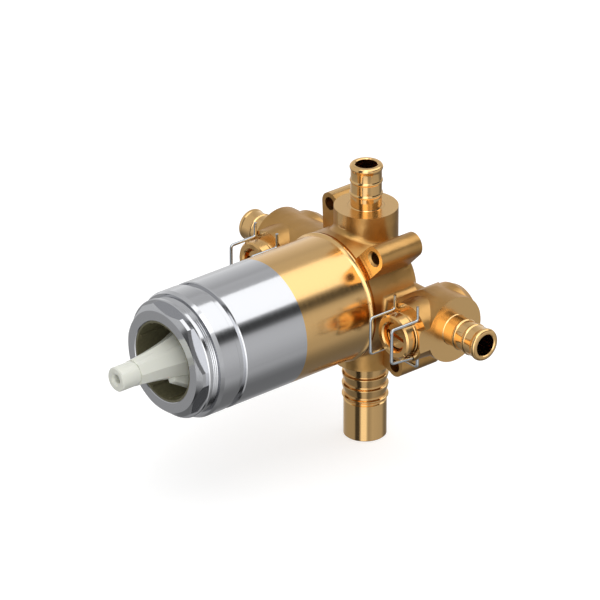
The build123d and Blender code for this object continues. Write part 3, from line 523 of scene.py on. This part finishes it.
# %% Olive moulded plastic
FIBRES, FIBRE_DEPTH = 1.2 * MM, 0.01 * MM
olive, tree, shader = new_material("olive_glass_filled_nylon", Roughness=0.42, IOR=1.53)
place = add(tree, "ShaderNodeTexCoord")
spot = place.outputs["Object"]
mottle = add(tree, "ShaderNodeTexNoise", {"Vector": spot, "Scale": 1 / FIBRES, "Detail": 3.0})
shades = add(tree, "ShaderNodeValToRGB", {0: mottle.outputs[0]})
for element, position, shade in zip(shades.color_ramp.elements, (0.3, 0.7), ("#5c5842", "#6c684e")):
    element.position, element.color = position, linear(shade)
tree.links.new(shades.outputs[0], shader.inputs["Base Color"])
bump = add(tree, "ShaderNodeBump", {"Strength": 1.0, "Distance": FIBRE_DEPTH, "Height": mottle.outputs[0]})
tree.links.new(bump.outputs[0], shader.inputs["Normal"])
wear(olive, "cartridge_housing", "disc_driver", "temperature_limit_ring", "spool_plug")
print("nodes in the olive plastic:", len(tree.nodes))

# %% [markdown]
# The pieces that stay inside the valve get their own finishes too, because another
# scene may open it: lapped ceramic, ground stainless steel, and nitrile rubber.

# %% Ceramic, stainless steel, spring wire and rubber
LAPPING, BLOOM = 0.4 * MM, 2 * MM
ceramic, tree, shader = new_material("lapped_alumina", Base_Color=linear("#f0eee6"), IOR=1.76)
place = add(tree, "ShaderNodeTexCoord")
spot = place.outputs["Object"]
specks = add(tree, "ShaderNodeTexNoise", {"Vector": spot, "Scale": 1 / LAPPING, "Detail": 2.0})
rough = add(tree, "ShaderNodeMapRange", {"Value": specks.outputs[0], "To Min": 0.12, "To Max": 0.26})
tree.links.new(rough.outputs[0], shader.inputs["Roughness"])
wear(ceramic, "fixed_ceramic_disc", "moving_ceramic_disc")
stainless = turned_metal("ground_stainless_steel", "x", "#b9bbbd", 0.18, 0.32, 0.4 * MM, 0.004 * MM)
wear(stainless, "spool_sleeve", "balance_spool")
wire = turned_metal("drawn_stainless_wire", "z", "#c3c8cc", 0.16, 0.24, 0.6 * MM, 0.002 * MM)
wear(wire, "left_retaining_clip", "right_retaining_clip")
rubber, tree, shader = new_material("moulded_nitrile_rubber", Base_Color=linear("#1b1b1c"), IOR=1.52)
place = add(tree, "ShaderNodeTexCoord")
spot = place.outputs["Object"]
bloom = add(tree, "ShaderNodeTexNoise", {"Vector": spot, "Scale": 1 / BLOOM, "Detail": 3.0})
rough = add(tree, "ShaderNodeMapRange", {"Value": bloom.outputs[0], "To Min": 0.45, "To Max": 0.65})
tree.links.new(rough.outputs[0], shader.inputs["Roughness"])
wear(rubber, "sleeve_o_ring", "cartridge_front_o_ring", "cartridge_rear_o_ring", "stem_o_ring", "port_gasket")
for side in ("left", "right"):
    wear(rubber, side + "_seat_washer", side + "_stop_o_ring")
print("materials:", len(bpy.data.materials))

# %% [markdown]
# The photograph was taken from above and to the right, with a long lens. The camera
# stands two metres off and its lens of 360 mm covers the 217 mm that the picture is
# wide there. It looks at a point a little left of the valve's middle: in a picture of
# 600 pixels the middle is pixel 300, and the origin of the valve lies beside it.

# %% Camera
AZIMUTH, ELEVATION, DISTANCE, LENS = 49.5, 26.8, 2.166, 360.0
PIXEL = 0.361 * MM
MIDDLE, ORIGIN_X, ORIGIN_Y = 300, 365.7, 283.3
around, above = radians(AZIMUTH), radians(ELEVATION)
to_camera = Vector((sin(around) * cos(above), -cos(around) * cos(above), sin(above)))
right = Vector((cos(around), sin(around), 0))
up = to_camera.cross(right)
target = right * (MIDDLE - ORIGIN_X) * PIXEL + up * (ORIGIN_Y - MIDDLE) * PIXEL
bpy.ops.object.camera_add(location=target + to_camera * DISTANCE)
camera = bpy.context.object
camera.name = "portrait_camera"
turned_to_view = Matrix((right, up, to_camera)).transposed().to_4x4()
camera.matrix_world = Matrix.Translation(camera.location) @ turned_to_view
camera.data.lens = LENS
camera.data.clip_start, camera.data.clip_end = 0.05, 50.0
bpy.context.scene.camera = camera
print("camera at", [round(v, 3) for v in camera.location])

# %% [markdown]
# Metal is drawn by what it mirrors. In the photograph the barrel mirrors one long white
# soft box behind and above it, a dark gap below that box, and a grey room elsewhere. A
# lamp that lies along the barrel makes the white band. Its power follows from how bright
# it should look: radiance times its area times pi.

# %% Soft boxes


def soft_box(name, angle, distance, middle_y, width, length, radiance):
    """A soft box that lies along Y, at an angle round the barrel, and faces its axis."""
    away = Vector((cos(radians(angle)), 0, sin(radians(angle))))
    bpy.ops.object.light_add(type="AREA", location=away * distance + Vector((0, middle_y, 0)))
    lamp = bpy.context.object
    lamp.name = name
    lamp.data.shape = "RECTANGLE"
    lamp.data.size, lamp.data.size_y = width, length
    lamp.data.energy = radiance * pi * width * length
    turned_to_axis = Matrix((Vector((0, 1, 0)).cross(away), (0, 1, 0), away)).transposed().to_4x4()
    lamp.matrix_world = Matrix.Translation(lamp.location) @ turned_to_axis
    return lamp


soft_box("long_soft_box", angle=76.0, distance=1.0, middle_y=0.5, width=1.06, length=2.4, radiance=1.05)

# %% [markdown]
# The floor is plain paper that the valve stands on and that takes its soft shadow. To
# the camera it glows a little, so that it meets the white background without an edge.
# To other light it is pale grey, and mirror rays pass it, so that the metal mirrors the
# room alone.

# %% Floor
FLOOR_SIZE, FLOOR_GLOW = 12.0, 0.6
bpy.ops.object.select_all(action="DESELECT")
bpy.ops.mesh.primitive_plane_add(size=FLOOR_SIZE, location=(0, 0, cad_box[0][2]))
floor = bpy.context.object
floor.name = "studio_floor"
floor.visible_glossy = False
paper, tree, shader = new_material("white_paper", Roughness=0.9)
rays = add(tree, "ShaderNodeLightPath")
greys = {0: rays.outputs["Is Camera Ray"], 6: linear("#bdbdbd"), 7: linear("#c4c4c4")}
shade = add(tree, "ShaderNodeMix", greys, data_type="RGBA")
tree.links.new(shade.outputs[2], shader.inputs["Base Color"])
shader.inputs["Emission Color"].default_value = (1, 1, 1, 1)
glow = add(tree, "ShaderNodeMath", {0: rays.outputs["Is Camera Ray"], 1: FLOOR_GLOW}, operation="MULTIPLY")
tree.links.new(glow.outputs[0], shader.inputs["Emission Strength"])
floor.data.materials.append(paper)
print("floor at z, metres:", round(floor.location.z, 4))

# %% [markdown]
# The room is a world of greys that change with the direction. Behind the valve they are
# bands that lie along the barrel, one above the other. In front of it they stand
# upright, and turn with the compass. A ramp over an angle draws either kind: the angle
# is the arc tangent of two parts of the direction.

# %% Bands of grey
world = bpy.data.worlds.new("studio_room")
bpy.context.scene.world = world
world.use_nodes = True
tree = world.node_tree
tree.nodes.clear()
sky = add(tree, "ShaderNodeTexCoord")
east, north, height = add(tree, "ShaderNodeSeparateXYZ", {0: sky.outputs["Generated"]}).outputs


def bands(sine, cosine, *levels):
    """Greys that change with an angle: each level is the angle in degrees and the radiance there."""
    turn = add(tree, "ShaderNodeMath", {0: sine, 1: cosine}, operation="ARCTAN2")
    part = add(tree, "ShaderNodeMapRange", {"Value": turn.outputs[0], "From Min": -pi, "From Max": pi})
    ramp = add(tree, "ShaderNodeValToRGB", {0: part.outputs[0]})
    stops = ramp.color_ramp.elements
    for angle, level in levels:
        stop = stops.new((angle + 180) / 360)
        stop.color = (level, level, level, 1)
    stops.remove(stops[0])
    stops.remove(stops[-1])
    return ramp.outputs[0]


print("the room starts with", len(tree.nodes), "nodes")

# %% [markdown]
# Behind the valve it is dark below and grey on the right. Above that comes a narrow
# dark gap, then the grey about the lamp, and a brighter grey on the left. In front of
# it are greys that darken towards the floor, with a tall bright card and a black one
# beside it. The camera sees plain white instead of all this.

# %% The room
CARD_BRIGHTNESS = 3.0
behind = bands(
    height, east,
    (-180, 0.80), (-168, 0.77), (-156, 0.68), (-140, 0.50), (-120, 0.30), (-108, 0.20), (-72, 0.20),
    (-60, 0.27), (-44, 0.50), (-34, 0.50), (-14, 0.64), (0, 0.70), (14, 0.69), (21, 0.60), (26, 0.20),
    (31, 0.07), (38, 0.05), (43, 0.12), (48, 0.60), (104, 0.60), (118, 0.60), (126, 0.64), (132, 0.54),
    (150, 0.70), (162, 0.80), (180, 0.80),
)
levels = {"Value": height, "From Min": -0.74, "From Max": -0.1, "To Min": 0.20, "To Max": 0.68}
level = add(tree, "ShaderNodeMapRange", levels)
south = add(tree, "ShaderNodeMath", {0: north, 1: -1.0}, operation="MULTIPLY")
cards = bands(
    east, south.outputs[0],
    (-180, 0.33), (-8, 0.33), (-2, 0.05), (18, 0.05), (24, 0.4), (30, 1.0), (54, 1.0), (62, 0.45),
    (68, 0.33), (180, 0.33),
)
both = {0: 1.0, 6: cards, 7: level.outputs[0]}
front = add(tree, "ShaderNodeMix", both, data_type="RGBA", blend_type="MULTIPLY")
ahead = add(tree, "ShaderNodeMapRange", {"Value": north, "From Min": 0.1, "From Max": 0.0})
bright = add(tree, "ShaderNodeVectorMath", {0: front.outputs[2], "Scale": CARD_BRIGHTNESS}, operation="SCALE")
halves = {0: ahead.outputs[0], 6: behind, 7: bright.outputs[0]}
room = add(tree, "ShaderNodeMix", halves, data_type="RGBA")
rays = add(tree, "ShaderNodeLightPath")
grey = add(tree, "ShaderNodeBackground", {"Color": room.outputs[2], "Strength": 1.0})
white = add(tree, "ShaderNodeBackground", {"Color": (1, 1, 1, 1), "Strength": 1.0})
sides = {0: rays.outputs["Is Camera Ray"], 1: grey.outputs[0], 2: white.outputs[0]}
seen = add(tree, "ShaderNodeMixShader", sides)
add(tree, "ShaderNodeOutputWorld", {"Surface": seen.outputs[0]})
bpy.context.scene.view_settings.view_transform = "Standard"
print("nodes in the room:", len(tree.nodes))

# %% End
print("end of the scene")
